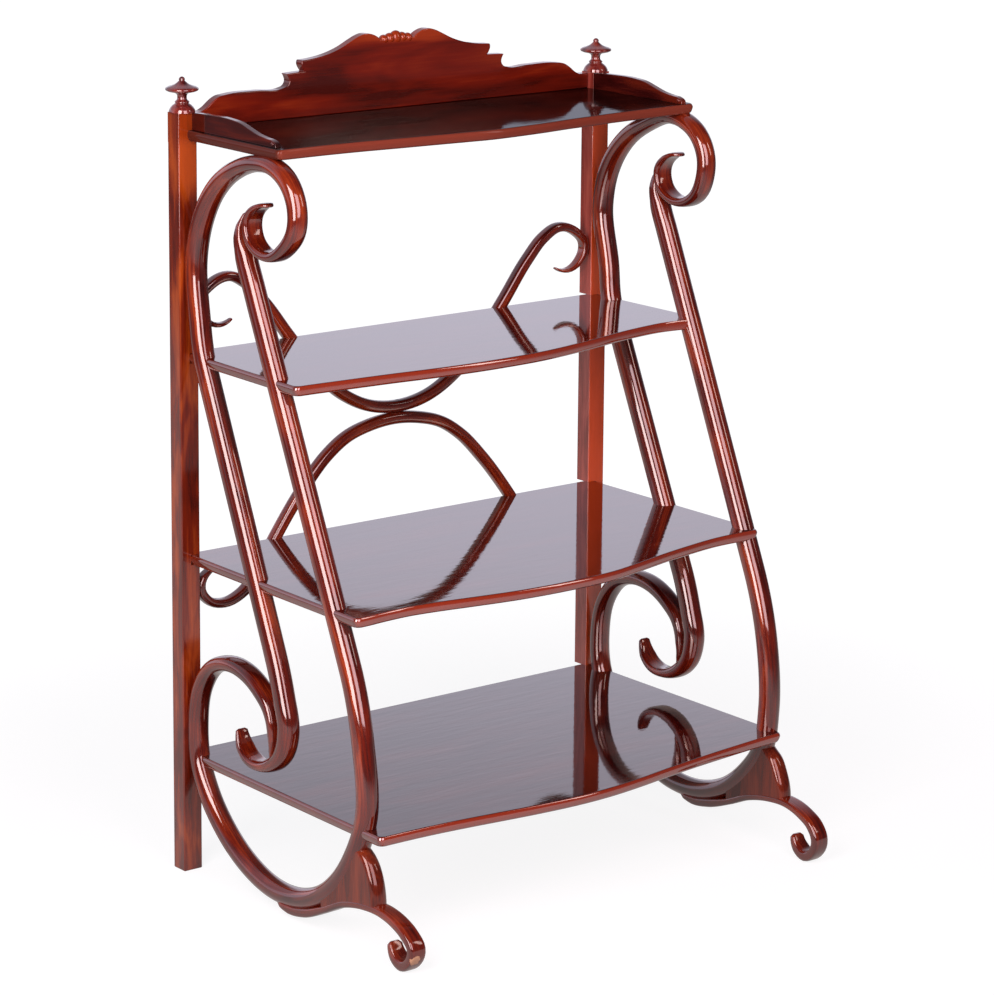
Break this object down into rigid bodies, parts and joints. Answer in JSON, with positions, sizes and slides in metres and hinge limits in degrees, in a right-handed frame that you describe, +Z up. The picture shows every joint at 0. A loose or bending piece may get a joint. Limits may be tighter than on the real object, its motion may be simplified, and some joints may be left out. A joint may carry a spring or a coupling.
{
  "type": "etagere",
  "caption": "Free-standing etagere with graduated shelves on rear posts and scrolled bentwood side rods, lyre-curved back rods and a low shaped gallery with finials.",
  "frame": {"origin": "middle of the width and depth at floor level", "axes": "+X to the right seen from the front, +Y towards the back, +Z up"},
  "size_m": [0.8248, 0.5944, 1.24],
  "materials": {
    "post_wood": "French polished mahogany, orange red where light falls",
    "turned_wood": "French polished, turned",
    "shelf_wood": "high gloss French polish",
    "gallery_wood": "French polished, carved edges",
    "bent_wood": "French polished bentwood",
    "dowel_wood": "bare beech",
    "screw_steel": "plain steel"
  },
  "bodies": {
    "root": {"back_lyre_lower": "bent_wood", "back_lyre_upper": "bent_wood", "crest_carving": "gallery_wood", "finial_left": "turned_wood", "finial_right": "turned_wood", "foot_screws": "screw_steel", "foot_scroll_left": "bent_wood", "foot_scroll_right": "bent_wood", "front_scroll_left": "bent_wood", "front_scroll_right": "bent_wood", "gallery_back": "gallery_wood", "gallery_block_left": "post_wood", "gallery_block_right": "post_wood", "gallery_dowels": "dowel_wood", "gallery_side_left": "gallery_wood", "gallery_side_right": "gallery_wood", "knee_block_left": "bent_wood", "knee_block_right": "bent_wood", "lyre_screws": "screw_steel", "post_dowels": "dowel_wood", "post_left": "post_wood", "post_right": "post_wood", "post_screws": "screw_steel", "rear_scroll_left": "bent_wood", "rear_scroll_right": "bent_wood", "shelf_dowels": "dowel_wood", "shelf_lower": "shelf_wood", "shelf_middle": "shelf_wood", "shelf_upper": "shelf_wood", "top_shelf": "shelf_wood"}
  },
  "joints": []
}
